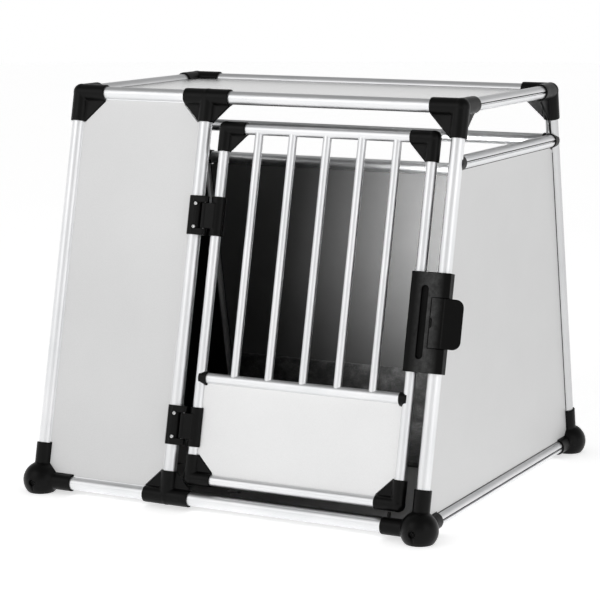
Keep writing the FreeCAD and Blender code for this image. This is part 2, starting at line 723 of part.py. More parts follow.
def latch_rod(size, x, out, low, high):
    """A cylinder up the door, with heights counted from the latch's middle."""
    return cylinder(size, f"{high - low:.3f}",
                    pointing(local(FRONT, x, LATCH_HEIGHT + low, out), FRONT_UP))


def latch_block(low, high):
    """A box by the latch: (x, height from the latch's middle, distance out)."""
    return frame_box(FRONT, (low[0], LATCH_HEIGHT + low[1], low[2]),
                     (high[0], LATCH_HEIGHT + high[1], high[2]))


def crown(depth):
    """The large cylinder that makes the latch's front slightly convex."""
    centre = (LATCH_LEFT + LATCH_RIGHT) / 2
    half = D["latch_length"] / 2 + 5
    return latch_rod(f"Dims.latch_crown - {depth:.3f}", centre, LATCH_FACE - D["latch_crown"],
                     -half, half)


def wing_plane(lift=0.0):
    """The wing's plane frame: x along the wing, y up the door."""
    turn = FRONT.Rotation.multiply(Rotation(Y_AXIS, -WING_TILT))
    spot = Placement(local(FRONT, WING_START[0], LATCH_HEIGHT, WING_START[1]), turn)
    return spot.multiply(Placement(Vector(0, 0, lift), Rotation()))


def latch():
    half = D["latch_length"] / 2
    lever_half = D["lever_length"] / 2
    room = lever_half + 0.5
    shell = common(latch_block((LATCH_LEFT, -half, LATCH_BACK), (LATCH_RIGHT, half, 30)), crown(0.0))
    stile = latch_rod("Dims.door_tube / 2", STILE_X[1], 0, -half - 1, half + 1)
    post_room = TUBE_RADIUS + 0.9
    channel = latch_rod("Dims.tube_outer / 2 + 0.9", HALF_WIDTH, 0, -half - 1, half + 1)
    throat = latch_block((HALF_WIDTH - post_room, -half - 1, LATCH_BACK - 5),
                         (HALF_WIDTH + post_room, half + 1, 0))
    pocket = cut(latch_block((PIVOT_X - 2.1, -room, 3), (LATCH_RIGHT + 5, room, 30)),
                 crown(D["lever_thickness"] + 0.4))
    wing_room = box("60", f"{2 * room}", "20",
                    wing_plane().multiply(Placement(Vector(-2, -room, -2.3), Rotation())))
    window = latch_block((HALF_WIDTH + post_room, -10, LATCH_BACK - 1), (LATCH_RIGHT + 1, 10, 25))
    travel = D["latch_slot_travel"] / 2
    slot_x = 373.5
    width = D["latch_slot"] / 2
    grip = fuse(latch_block((slot_x - width, -travel, 13), (slot_x + width, travel, 30)),
                *[cylinder("Dims.latch_slot / 2", "20",
                           pointing(local(FRONT, slot_x, LATCH_HEIGHT + end, 13),
                                    turned(FRONT, Z_AXIS)))
                  for end in (-travel, travel)])
    pin = latch_rod(f"{PIN_RADIUS}", PIVOT_X, PIVOT_OUT, -lever_half - 3, lever_half + 3)
    screws = []
    for end in (-60.0, 60.0):
        back = pointing(local(FRONT, 368.5, LATCH_HEIGHT + end, -14), turned(FRONT, Z_AXIS))
        head = pointing(local(FRONT, 368.5, LATCH_HEIGHT + end, -16), turned(FRONT, Z_AXIS))
        screws.append(fuse(cylinder("2", "22", back), cylinder("3.5", "2", head)))
    screw_set = keep("latch_screws", group(*screws))
    keep("latch_pin", pin)
    keep("latch_housing", cut(shell, stile, channel, throat, pocket, wing_room, window, grip,
                              pin, screw_set))
    clamp = latch_block((LATCH_LEFT - 1, -half + 10, -14), (373.5, half - 10, LATCH_BACK))
    keep("latch_rear_clamp", cut(clamp, latch_rod("Dims.door_tube / 2", STILE_X[1], 0,
                                                  -half - 1, half + 1), screw_set))
    spring = cut(latch_rod("1.5", PIVOT_X, PIVOT_OUT, -8, 8),
                 latch_rod(f"{PIN_RADIUS}", PIVOT_X, PIVOT_OUT, -9, 9))
    keep("latch_spring", spring)


def latch_lever():
    """The flush lever plate, the wing that a finger pulls, and the catch behind it."""
    lever_half = D["lever_length"] / 2
    band = common(latch_block((PIVOT_X, -lever_half, 3), (WING_START[0] + 1.2, lever_half, 30)),
                  crown(0.0))
    face = cut(band, crown(D["lever_thickness"]))
    knuckle = latch_rod("Dims.lever_thickness / 2", PIVOT_X, PIVOT_OUT, -lever_half, lever_half)
    wing = rounded_wing()
    catch = latch_block((HALF_WIDTH + TUBE_RADIUS + 1.2, -9.5, -9),
                        (LATCH_RIGHT - 0.5, 9.5, 13.6))
    hole = latch_rod(f"{PIN_RADIUS} + Dims.running_gap", PIVOT_X, PIVOT_OUT, -60, 60)
    notch = latch_block((PIVOT_X - 3, -8.4, 10), (PIVOT_X + 2.2, 8.4, 30))
    keep("latch_lever", cut(fuse(face, knuckle, wing, catch), hole, notch))


def rounded_wing():
    """The wing: a plate whose two free corners are round."""
    half = D["lever_length"] / 2
    reach = D["wing_reach"]
    bend = D["wing_corner"]
    body = doc.addObject("PartDesign::Body", "wing_body")
    sketch = body.newObject("Sketcher::SketchObject", "wing_sketch")
    plane = [item for item in body.Origin.OriginFeatures if item.Role == "XY_Plane"][0]
    sketch.AttachmentSupport = [(plane, "")]
    sketch.MapMode = "FlatFace"
    ends = [((0, -half), (reach - bend, -half)), ((reach, bend - half), (reach, half - bend)),
            ((reach - bend, half), (0, half)), ((0, half), (0, -half))]
    for first, second in ends:
        sketch.addGeometry(Part.LineSegment(Vector(*first, 0), Vector(*second, 0)))
    for centre_y, start, stop in ((bend - half, -math.pi / 2, 0), (half - bend, 0, math.pi / 2)):
        circle = Part.Circle(Vector(reach - bend, centre_y, 0), Z_AXIS, bend)
        sketch.addGeometry(Part.ArcOfCircle(circle, start, stop))
    pad = body.newObject("PartDesign::Pad", "wing_pad")
    pad.Profile = sketch
    pad.setExpression("Length", "Dims.wing_thickness")
    body.Tip = pad
    body.Placement = wing_plane(-D["wing_thickness"] / 2)
    return body


# ---------------------------------------------------------------- build and write
foot_screws = feet()
top_corners()
tees()
front_tubes()
rear_tubes()
side_tubes()
frame_flanges()
panels()
floor_mat()
sill()
door_frame()
door_panel()
hinge_screws = hinges()
keep("frame_screws", group(*foot_screws, *hinge_screws))
latch()
latch_lever()
doc.recompute()

for thing in doc.Objects:
    if "Invalid" in thing.State or "Error" in thing.State:
        raise RuntimeError(f"{thing.Name} ({thing.Label}) failed: {thing.State}")
for label, thing in subparts.items():
    shape = thing.Shape
    if shape.isNull() or not shape.isValid() or not shape.Solids:
        raise RuntimeError(f"{label} has no valid solid")

os.makedirs("parts", exist_ok=True)
for label, thing in subparts.items():
    thing.Shape.exportStep(f"parts/{label}.step")
    volume = thing.Shape.Volume / 1000
    print(f"{label}: {len(thing.Shape.Solids)} solids, {volume:.1f} cm3")
print(len(subparts), "sub-parts")
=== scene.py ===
"""Studio scene of the aluminium tube dog travel crate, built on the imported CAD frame."""
import json
import math
import random

import bmesh
import bpy
from mathutils import Matrix, Vector


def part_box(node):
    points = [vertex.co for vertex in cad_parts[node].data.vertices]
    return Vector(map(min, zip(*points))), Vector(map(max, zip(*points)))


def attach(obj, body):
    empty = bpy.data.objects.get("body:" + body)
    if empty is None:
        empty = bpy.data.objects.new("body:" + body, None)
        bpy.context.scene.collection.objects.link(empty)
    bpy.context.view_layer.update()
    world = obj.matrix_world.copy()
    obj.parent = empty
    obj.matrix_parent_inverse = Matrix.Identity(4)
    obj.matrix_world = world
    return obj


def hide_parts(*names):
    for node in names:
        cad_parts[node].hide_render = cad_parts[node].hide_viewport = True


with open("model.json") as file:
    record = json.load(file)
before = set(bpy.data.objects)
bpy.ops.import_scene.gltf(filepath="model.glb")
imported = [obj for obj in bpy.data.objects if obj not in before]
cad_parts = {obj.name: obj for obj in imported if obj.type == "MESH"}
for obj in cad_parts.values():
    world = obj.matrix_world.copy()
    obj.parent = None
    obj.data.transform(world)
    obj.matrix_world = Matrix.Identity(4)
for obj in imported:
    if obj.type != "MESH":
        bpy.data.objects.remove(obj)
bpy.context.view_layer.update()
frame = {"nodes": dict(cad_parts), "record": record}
NODES = frame["nodes"]
random.seed(7)


# ---------------------------------------------------------------- planes of the crate
def middle(node):
    low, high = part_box(node)
    return (low + high) / 2


def farthest(node, direction):
    """How far a node reaches along a direction."""
    return max(vertex.co.dot(direction) for vertex in NODES[node].data.vertices)


AXIS_HEIGHT = (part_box("rail_bottom_left")[0].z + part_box("rail_bottom_left")[1].z) / 2
TOP_HEIGHT = middle("rail_top_left").z
TUBE_RADIUS = 0.0125
HALF_DEPTH = -middle("rail_bottom_front_left").y
HALF_WIDTH = (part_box("rail_bottom_right")[0].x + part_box("rail_bottom_right")[1].x) / 2
FRONT_TOP_Y = middle("rail_top_front_left").y
REAR_TOP_Y = middle("rail_top_rear").y
FRONT_UP = Vector((0, FRONT_TOP_Y + HALF_DEPTH, TOP_HEIGHT - AXIS_HEIGHT)).normalized()
REAR_UP = Vector((0, REAR_TOP_Y - HALF_DEPTH, TOP_HEIGHT - AXIS_HEIGHT)).normalized()
RIGHT = Vector((1, 0, 0))
BACK = Vector((0, 1, 0))
UP = Vector((0, 0, 1))
FRONT_OUT = RIGHT.cross(FRONT_UP)
REAR_OUT = REAR_UP.cross(RIGHT)


# ---------------------------------------------------------------- shader helpers
def add(tree, kind, inputs=None, **settings):
    """A new node; inputs are values or the sockets to link from."""
    node = tree.nodes.new(kind)
    for name, value in settings.items():
        setattr(node, name, value)
    for name, value in (inputs or {}).items():
        if isinstance(value, bpy.types.NodeSocket):
            tree.links.new(value, node.inputs[name])
        else:
            node.inputs[name].default_value = value
    return node


def new_material(name, **values):
    material = bpy.data.materials.new(name)
    material.use_nodes = True
    tree = material.node_tree
    shader = tree.nodes["Principled BSDF"]
    for socket, value in values.items():
        shader.inputs[socket.replace("_", " ")].default_value = value
    return material, tree, shader


def ramp(tree, source, stops):
    """A colour ramp; stops are (position, grey or colour)."""
    node = add(tree, "ShaderNodeValToRGB", {"Fac": source})
    elements = node.color_ramp.elements
    while len(elements) < len(stops):
        elements.new(0.5)
    for element, (position, colour) in zip(elements, stops):
        element.position = position
        element.color = (colour,) * 3 + (1,) if isinstance(colour, float) else (*colour, 1)
    return node.outputs["Color"]


def math_node(tree, operation, first, second=0.0):
    return add(tree, "ShaderNodeMath", {0: first, 1: second}, operation=operation).outputs[0]


def edge_mask(tree, radius):
    """Near 1 along edges and 0 on flat faces, with the rounded normal beside it."""
    bevel = add(tree, "ShaderNodeBevel", {"Radius": radius}, samples=4)
    geometry = add(tree, "ShaderNodeNewGeometry")
    dot = add(tree, "ShaderNodeVectorMath", {0: bevel.outputs[0], 1: geometry.outputs["Normal"]},
              operation="DOT_PRODUCT")
    mask = math_node(tree, "SUBTRACT", 1.0, dot.outputs["Value"])
    return ramp(tree, mask, [(0.02, 0.0), (0.3, 1.0)]), bevel.outputs[0]


def object_coordinates(tree):
    return add(tree, "ShaderNodeTexCoord").outputs["Object"]


def noise(tree, coordinates, scale, detail=3.0, roughness=0.5):
    return add(tree, "ShaderNodeTexNoise", {"Vector": coordinates, "Scale": scale, "Detail": detail,
                                            "Roughness": roughness}).outputs["Fac"]


def bump(tree, height, strength, distance, normal=None):
    inputs = {"Height": height, "Strength": strength, "Distance": distance}
    if normal is not None:
        inputs["Normal"] = normal
    return add(tree, "ShaderNodeBump", inputs).outputs["Normal"]


# ---------------------------------------------------------------- materials
MOULD_EDGE = 0.0012
SCREW_EDGE = 0.0004


def aluminium(name, direction, low=(0.80, 0.81, 0.82), high=(0.88, 0.88, 0.89)):
    """Satin anodised extrusion with fine die lines along the tube."""
    material, tree, shader = new_material(name, Metallic=1.0)
    across = direction.orthogonal().normalized()
    turn = Matrix((across, direction.cross(across), direction)).to_euler()
    place = object_coordinates(tree)
    turned = add(tree, "ShaderNodeMapping", {"Vector": place, "Rotation": turn}).outputs[0]
    drawn = add(tree, "ShaderNodeMapping", {"Vector": turned, "Scale": (1, 1, 0.012)}).outputs[0]
    lines = noise(tree, drawn, 1400, 2)
    grain = noise(tree, place, 2600, 2)
    cloud = noise(tree, place, 9, 4)
    scuffs = noise(tree, add(tree, "ShaderNodeMapping",
                             {"Vector": turned, "Scale": (1, 1, 5)}).outputs[0], 34, 6, 0.7)
    tone = add(tree, "ShaderNodeMix", {"Factor": ramp(tree, cloud, [(0.3, 0.0), (0.7, 1.0)]),
                                       "A": (*low, 1), "B": (*high, 1)},
               data_type="RGBA")
    marks = ramp(tree, scuffs, [(0.70, 1.0), (0.78, 0.86)])
    colour = add(tree, "ShaderNodeMix", {"Factor": 1.0, "A": tone.outputs["Result"], "B": marks},
                 data_type="RGBA", blend_type="MULTIPLY")
    tree.links.new(colour.outputs["Result"], shader.inputs["Base Color"])
    rough = ramp(tree, lines, [(0.25, 0.34), (0.75, 0.50)])
    tree.links.new(rough, shader.inputs["Roughness"])
    soft = bump(tree, lines, 0.12, 0.0001)
    tree.links.new(bump(tree, grain, 0.05, 0.0001, soft), shader.inputs["Normal"])
    return material


def moulding(name, colour, rough, shine=0.16):
    """Black moulded plastic: fine spark grain, dusty tone, polished and paler edges."""
    material, tree, shader = new_material(name, IOR=1.45, Specular_IOR_Level=shine)
    place = object_coordinates(tree)
    edges, normal = edge_mask(tree, MOULD_EDGE)
    cloud = noise(tree, place, 14, 5, 0.6)
    dust = noise(tree, place, 60, 4, 0.6)
    tone = add(tree, "ShaderNodeMix", {"Factor": ramp(tree, cloud, [(0.3, 0.0), (0.7, 1.0)]),
                                       "A": (*[c * 0.82 for c in colour], 1),
                                       "B": (*[c * 1.25 for c in colour], 1)}, data_type="RGBA")
    wear_and_sheen = add(tree, "ShaderNodeMix", {"Factor": math_node(tree, "MULTIPLY", edges, 0.35),
                                       "A": tone.outputs["Result"],
                                       "B": (*[c * 3.2 for c in colour], 1)}, data_type="RGBA")
    tree.links.new(wear_and_sheen.outputs["Result"], shader.inputs["Base Color"])
    base = ramp(tree, dust, [(0.3, rough - 0.05), (0.7, rough + 0.07)])
    polished = math_node(tree, "MULTIPLY_ADD", edges, -0.10)
    tree.links.new(base, polished.node.inputs[2])
    tree.links.new(polished, shader.inputs["Roughness"])
    grain = noise(tree, place, 3200, 2, 0.6)
    tree.links.new(bump(tree, grain, 0.25, 0.00012, normal), shader.inputs["Normal"])
    return material


def crown_moulding(name, colour, rough, node):
    """Moulded plastic with a painted highlight down the middle of a node's front face, broken up by
    blotchy wear.
    """
    low, high = (corner.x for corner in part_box(node))
    face = farthest(node, FRONT_OUT)
    material = moulding(name, colour, rough)
    tree = material.node_tree
    shader = tree.nodes["Principled BSDF"]
    place = object_coordinates(tree)
    out = add(tree, "ShaderNodeVectorMath", {0: place, 1: FRONT_OUT},
              operation="DOT_PRODUCT").outputs["Value"]
    depth = math_node(tree, "MULTIPLY", math_node(tree, "SUBTRACT", face, out), 100.0)
    front = ramp(tree, depth, [(0.06, 1.0), (0.25, 0.0)])
    across = add(tree, "ShaderNodeSeparateXYZ", {"Vector": place}).outputs["X"]
    part = math_node(tree, "DIVIDE", math_node(tree, "SUBTRACT", across, low), high - low)
    # Painted highlight: specular level raised across the middle of the width, standing in for light
    # on a rounded crown.
    painted_highlight_band = ramp(tree, part, [(0.0, 0.12), (0.30, 0.30), (0.55, 0.62), (0.80, 0.50), (0.97, 0.12)])
    blotches = ramp(tree, noise(tree, place, 95, 5, 0.7), [(0.30, 0.45), (0.70, 1.35)])
    # Painted highlight band times blotchy wear, on the front face only.
    wear_and_sheen = math_node(tree, "MULTIPLY", math_node(tree, "MULTIPLY", painted_highlight_band, blotches), front)
    tree.links.new(math_node(tree, "ADD", wear_and_sheen, 0.10), shader.inputs["Specular IOR Level"])
    return material


def panel(name, outward, tone, inside, shine=0.5, metal=0.35, satin=(0.38, 0.52)):
    """A composite panel: satin silver coat on its outer face and a plain tone, set per panel, on
    the inner one.
    """
    material, tree, shader = new_material(name, Specular_IOR_Level=shine)
    coordinates = add(tree, "ShaderNodeTexCoord")
    place = coordinates.outputs["Object"]
    facing = add(tree, "ShaderNodeVectorMath", {0: coordinates.outputs["Normal"], 1: outward},
                 operation="DOT_PRODUCT").outputs["Value"]
    outer = math_node(tree, "GREATER_THAN", facing, 0.5)
    cloud = noise(tree, place, 3.5, 4)
    fleck = noise(tree, place, 900, 2, 0.7)
    smears = noise(tree, place, 7, 6, 0.65)
    coat = ramp(tree, cloud, [(0.3, tone * 0.97), (0.7, min(tone * 1.03, 1.0))])
    speckled = add(tree, "ShaderNodeMix", {"Factor": 1.0, "A": coat,
                                           "B": ramp(tree, fleck, [(0.35, 0.93), (0.65, 1.0)])},
                   data_type="RGBA", blend_type="MULTIPLY")
    inner_tone = ramp(tree, smears, [(0.3, inside * 0.92), (0.7, inside * 1.08)])
    colour = add(tree, "ShaderNodeMix", {"Factor": outer, "A": inner_tone,
                                         "B": speckled.outputs["Result"]}, data_type="RGBA")
    tree.links.new(colour.outputs["Result"], shader.inputs["Base Color"])
    rough = add(tree, "ShaderNodeMix",
                {"Factor": outer, "A": ramp(tree, smears, [(0.35, 0.30), (0.75, 0.42)]),
                 "B": ramp(tree, fleck, [(0.3, satin[0]), (0.7, satin[1])])}, data_type="RGBA")
    tree.links.new(rough.outputs["Result"], shader.inputs["Roughness"])
    tree.links.new(math_node(tree, "MULTIPLY", outer, metal), shader.inputs["Metallic"])
    wave = noise(tree, place, 5, 2)
    coarse = bump(tree, wave, 0.08, 0.002)
    tree.links.new(bump(tree, fleck, 0.06, 0.0001, coarse), shader.inputs["Normal"])
    return material


def fleece(name):
    """Short dark pile, mottled where it has been trodden."""
    material, tree, shader = new_material(name, Sheen_Weight=0.25, Sheen_Roughness=0.5)
    place = object_coordinates(tree)
    patches = noise(tree, place, 22, 6, 0.7)
    fibres = noise(tree, place, 480, 5, 0.75)
    colour = ramp(tree, patches, [(0.32, 0.020), (0.5, 0.060), (0.7, 0.16)])
    fine = add(tree, "ShaderNodeMix", {"Factor": 1.0, "A": colour,
                                       "B": ramp(tree, fibres, [(0.3, 0.35), (0.7, 1.4)])},
               data_type="RGBA", blend_type="MULTIPLY")
    tree.links.new(fine.outputs["Result"], shader.inputs["Base Color"])
    tree.links.new(ramp(tree, fibres, [(0.2, 0.85), (0.8, 1.0)]), shader.inputs["Roughness"])
    tufts = bump(tree, patches, 0.5, 0.004)
    tree.links.new(bump(tree, fibres, 0.8, 0.0012, tufts), shader.inputs["Normal"])
    return material


def steel(name, dark, bright):
    """Plated or blackened screw steel, slightly spotted."""
    material, tree, shader = new_material(name, Metallic=1.0)
    place = object_coordinates(tree)
    _, normal = edge_mask(tree, SCREW_EDGE)
    spots = noise(tree, place, 400, 4)
    tree.links.new(ramp(tree, spots, [(0.3, dark), (0.7, bright)]), shader.inputs["Base Color"])
    tree.links.new(ramp(tree, spots, [(0.3, 0.20), (0.7, 0.34)]), shader.inputs["Roughness"])
    tree.links.new(bump(tree, spots, 0.1, 0.0001, normal), shader.inputs["Normal"])
    return material


def floor_sheet(name):
    """Smooth dark grey floor sheet, slightly smeared."""
    material, tree, shader = new_material(name)
    place = object_coordinates(tree)
    smear = noise(tree, place, 4, 6, 0.65)
    fine = noise(tree, place, 800, 2)
    tree.links.new(ramp(tree, smear, [(0.3, 0.13), (0.7, 0.19)]), shader.inputs["Base Color"])
    tree.links.new(ramp(tree, smear, [(0.3, 0.22), (0.7, 0.38)]), shader.inputs["Roughness"])
    tree.links.new(bump(tree, fine, 0.06, 0.0001), shader.inputs["Normal"])
    return material


# Painted shade: the rear uprights and the rear ring rail are darker copies of the same anodised
# aluminium, standing in for shade on them.
REAR_SHADED_TONE = (0.58, 0.585, 0.59), (0.66, 0.665, 0.67)
PLASTIC = (0.0022, 0.0022, 0.0021)
MATERIALS = {
    "tube_across": aluminium("tube_across", RIGHT),
    "tube_back": aluminium("tube_back", BACK),
    "tube_front": aluminium("tube_front", FRONT_UP),
    "tube_rear": aluminium("tube_rear", REAR_UP, *REAR_SHADED_TONE),
    "tube_ring": aluminium("tube_ring", RIGHT, *REAR_SHADED_TONE),
    "plastic": moulding("black_moulding", PLASTIC, 0.34),
    "latch": crown_moulding("latch_moulding", PLASTIC, 0.40, "latch_housing"),
    "rubber": moulding("sill_rubber", (0.010, 0.010, 0.010), 0.62),
    "lip": moulding("panel_lip_vinyl", (0.030, 0.030, 0.030), 0.45, 0.4),
    "steel": steel("bright_steel", 0.62, 0.80),
    "black_steel": steel("blackened_steel", 0.010, 0.022),
    "floor": floor_sheet("floor_sheet"),
    "mat": fleece("mat_fleece"),
}
PANEL_SIDES = {
    "panel_front_left": dict(outward=FRONT_OUT, tone=0.73, inside=0.70),
    # Painted light: the door panel carries the same silver coat as the front-left panel; its paler
    # outer tone stands in for the brighter light on it.
    "door_panel": dict(outward=FRONT_OUT, tone=0.90, inside=0.50),
    "panel_rear": dict(outward=REAR_OUT, tone=0.70, inside=0.10, shine=0.3),
    "panel_left": dict(outward=-RIGHT, tone=0.70, inside=0.006, shine=0.10),
    "panel_right": dict(outward=RIGHT, tone=0.70, inside=0.010),
    "panel_roof": dict(outward=UP, tone=0.90, inside=0.20, metal=0.7, satin=(0.20, 0.30)),
}


def paint(thing, material):
    thing.data.materials.clear()
    thing.data.materials.append(material)


def tube_material(node):
    if node.startswith(("door_stile", "door_bars", "upright_front", "upright_door")):
        return "tube_front"
    if node.startswith("upright_rear"):
        return "tube_rear"
    if node == "rail_middle_rear":
        return "tube_ring"
    if node in ("rail_bottom_left", "rail_bottom_right", "rail_top_left", "rail_top_right",
                "rail_middle_left", "rail_middle_right"):
        return "tube_back"
    return "tube_across"


def dress_nodes():
    """Gives every CAD node its material."""
    slots = {part["node"]: part["material_slot"] for part in frame["record"]["subparts"]}
    by_slot = {"black_plastic": "plastic", "bright_steel": "steel",
               "blackened_steel": "black_steel", "sill_rubber": "rubber",
               "grey_floor_panel": "floor", "floor_mat_fabric": "mat"}
    for node, thing in NODES.items():
        if node in PANEL_SIDES:
            paint(thing, panel(f"{node}_sheet", **PANEL_SIDES[node]))
        elif slots[node] == "anodised_aluminium":
            paint(thing, MATERIALS[tube_material(node)])
        elif node in ("latch_housing", "latch_lever"):
            paint(thing, MATERIALS["latch"])
        else:
            paint(thing, MATERIALS[by_slot[slots[node]]])


# ---------------------------------------------------------------- stage, light and camera
FLOOR_GLOW = 0.6
SKY = [(0.0, 1.0), (0.14, 1.0), (0.40, 0.42), (1.0, 0.28)]
INSIDE = 2.5
KEY = 22
FILL = 10
STUDIO_AIM = Vector((0, 0, 0.35))


def stage():
    """A wide pale floor, a pale surround and large soft lights."""
    bpy.ops.mesh.primitive_circle_add(vertices=96, radius=14, fill_type="NGON", location=(0, 0, 0))
    floor = bpy.context.object
    floor.name = "studio_floor"
    material, tree, shader = new_material("studio_paper", Roughness=0.9)
    paper = noise(tree, object_coordinates(tree), 0.6, 2)
    tree.links.new(ramp(tree, paper, [(0.3, 0.93), (0.7, 0.95)]), shader.inputs["Base Color"])
    shader.inputs["Emission Color"].default_value = (1, 1, 1, 1)
    shader.inputs["Emission Strength"].default_value = FLOOR_GLOW
    paint(floor, material)

    world = bpy.data.worlds.new("studio")
    bpy.context.scene.world = world
    world.use_nodes = True
    tree = world.node_tree
    height = add(tree, "ShaderNodeSeparateXYZ",
                 {"Vector": add(tree, "ShaderNodeTexCoord").outputs["Generated"]}).outputs["Z"]
    sky = ramp(tree, height, SKY)
    background = tree.nodes["Background"]
    tree.links.new(sky, background.inputs["Color"])
    background.inputs["Strength"].default_value = 1.0

    softbox("key", (-1.6, -3.2, 2.4), (2.6, 2.2), KEY)
    softbox("fill", (3.2, -1.2, 1.5), (1.8, 2.2), FILL)
    softbox("inside", (0.20, -0.10, 0.42), (0.08, 0.34), INSIDE, Vector((0.18, 0.33, 0.42)), 90)
    bpy.context.scene.view_settings.view_transform = "Standard"


def softbox(name, place, size, power, target=STUDIO_AIM, spread=180):
    """A rectangular area lamp turned towards its target; spread is its beam in degrees."""
    light = bpy.data.lights.new(name, "AREA")
    light.spread = math.radians(spread)
    light.shape = "RECTANGLE"
    light.size, light.size_y = size
    light.energy = power
    lamp = bpy.data.objects.new(name, light)
    lamp.location = place
    aim = target - Vector(place)
    lamp.rotation_mode = "QUATERNION"
    lamp.rotation_quaternion = aim.to_track_quat("-Z", "Y")
    bpy.context.scene.collection.objects.link(lamp)


CAMERA_AZIMUTH = math.radians(27.004)
CAMERA_ELEVATION = math.radians(9.696)
CAMERA_TARGET = Vector((0.0200, -0.1050, 0.3656))
CAMERA_DISTANCE = 4.1596
LENS = 128.66


def camera():
    """A long lens from the front right, a little above the crate."""
    level = math.cos(CAMERA_ELEVATION)
    back = Vector((math.sin(CAMERA_AZIMUTH) * level, -math.cos(CAMERA_AZIMUTH) * level,
                   math.sin(CAMERA_ELEVATION)))
    data = bpy.data.cameras.new("camera")
    data.sensor_width = 36
    data.lens = LENS
    view = bpy.data.objects.new("camera", data)
    view.location = CAMERA_TARGET + back * CAMERA_DISTANCE
    view.rotation_mode = "QUATERNION"
    view.rotation_quaternion = (-back).to_track_quat("-Z", "Y")
    bpy.context.scene.collection.objects.link(view)
    bpy.context.scene.camera = view


# ---------------------------------------------------------------- mesh helpers
def new_piece(name, mesh, material, body):
    piece = bpy.data.objects.new(name, mesh)
    bpy.context.scene.collection.objects.link(piece)
    paint(piece, material)
    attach(piece, body)
    return piece


def mesh_from(name, build, smooth=True):
    """A mesh filled by build(bm), with its faces turned outwards."""
    mesh = bpy.data.meshes.new(name)
    bm = bmesh.new()
    build(bm)
    bmesh.ops.recalc_face_normals(bm, faces=bm.faces)
    for face in bm.faces:
        face.smooth = smooth
    bm.to_mesh(mesh)
    bm.free()
    return mesh


def join_rings(bm, rings):
    """Skins and caps a row of rings of equal length; each ring is a list of points."""
    rows = [[bm.verts.new(point) for point in ring] for ring in rings]
    count = len(rows[0])
    for lower, upper in zip(rows, rows[1:]):
        for index in range(count):
            after = (index + 1) % count
            bm.faces.new((lower[index], lower[after], upper[after], upper[index]))
    bm.faces.new(list(reversed(rows[0])))
    bm.faces.new(rows[-1])


def axes_around(direction):
    across = direction.orthogonal().normalized()
    return across, direction.cross(across).normalized()


def ring_points(centre, direction, radius, count, sides=0):
    """Points round a circle, or round a polygon of that many sides."""
    across, up = axes_around(direction)
    points = []
    for index in range(count):
        angle = 2 * math.pi * index / count
        reach = radius
        if sides:
            part = 2 * math.pi / sides
            reach = radius * math.cos(part / 2) / math.cos((angle % part) - part / 2)
        points.append(centre + (across * math.cos(angle) + up * math.sin(angle)) * reach)
    return points


# ---------------------------------------------------------------- screws
def screw_head(bm, seat, outward, radius, height):
    """A domed head with a hexagon socket."""
    profile = [(1.0, 0.0), (1.0, 0.45), (0.94, 0.72), (0.80, 0.92), (0.62, 1.0)]
    rings = [ring_points(seat + outward * height * rise, outward, radius * reach, 36)
             for reach, rise in profile]
    socket = radius * 0.52
    for depth, reach in ((1.0, 1.0), (0.94, 0.94), (0.3, 0.92)):
        rings.append(ring_points(seat + outward * height * depth, outward, socket * reach, 36, 6))
    join_rings(bm, rings)


def screws(name, spots, radius, height, material):
    """A set of screw heads; spots are (seat, outward)."""
    def build(bm):
        for seat, outward in spots:
            screw_head(bm, seat, outward, radius, height)

    piece = new_piece(name, mesh_from(name, build), MATERIALS[material], "crate")
    split = piece.modifiers.new("crisp", "EDGE_SPLIT")
    split.split_angle = math.radians(40)
    return piece


def islands(node):
    """The separate solids of a node as (low, high) corners."""
    bm = bmesh.new()
    bm.from_mesh(NODES[node].data)
    bmesh.ops.remove_doubles(bm, verts=bm.verts, dist=1e-6)
    left = set(bm.verts)
    boxes = []
    while left:
        stack = [left.pop()]
        found = list(stack)
        while stack:
            for edge in stack.pop().link_edges:
                for vert in edge.verts:
                    if vert in left:
                        left.remove(vert)
                        stack.append(vert)
                        found.append(vert)
        low = Vector([min(v.co[i] for v in found) for i in range(3)])
        high = Vector([max(v.co[i] for v in found) for i in range(3)])
        boxes.append((low, high))
    bm.free()
    return sorted(boxes, key=lambda pair: tuple(pair[0]))


def frame_screws():
    """Domed screws in the ball feet and in the hinge clamps."""
    feet = []
    clamps = []
    for low, high in islands("frame_screws"):
        centre = (low + high) / 2
        if centre.z < AXIS_HEIGHT + 0.01:
            outward = -BACK if centre.y < 0 else BACK
            feet.append((centre - outward * 0.001, outward))
        else:
            clamps.append((centre - FRONT_OUT * 0.001, FRONT_OUT))
    screws("foot_screw_heads", feet, 0.0034, 0.0022, "black_steel")
    heads = screws("clamp_screw_heads", clamps, 0.0037, 0.0030, "steel")
    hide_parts("frame_screws")


# ---------------------------------------------------------------- moulded connectors
CONNECTOR_VOXEL = 0.0011
FITTING_VOXEL = 0.0009
FITTINGS = ("hinge_post_clamps", "hinge_door_leaves", "latch_housing", "latch_lever",
            "latch_rear_clamp")


def soften(node, voxel):
    """Rounds a moulded node's edges and fills its inner corners, as a mould does."""
    thing = NODES[node]
    weld = thing.modifiers.new("weld", "WELD")
    weld.merge_threshold = 1e-5
    remesh = thing.modifiers.new("remesh", "REMESH")
    remesh.mode = "VOXEL"
    remesh.voxel_size = voxel
    remesh.use_smooth_shade = True
    smooth = thing.modifiers.new("smooth", "SMOOTH")
    smooth.factor = 0.5
    smooth.iterations = 3


def soften_connectors():
    for node in NODES:
        if node.startswith(("foot_", "corner_top", "tee_", "door_corner")):
            soften(node, CONNECTOR_VOXEL)
    for node in FITTINGS:
        soften(node, FITTING_VOXEL)


# ---------------------------------------------------------------- floor mat
MAT_THICKNESS = 0.009
MAT_EDGE = 0.008
PILE_COUNT = 16000


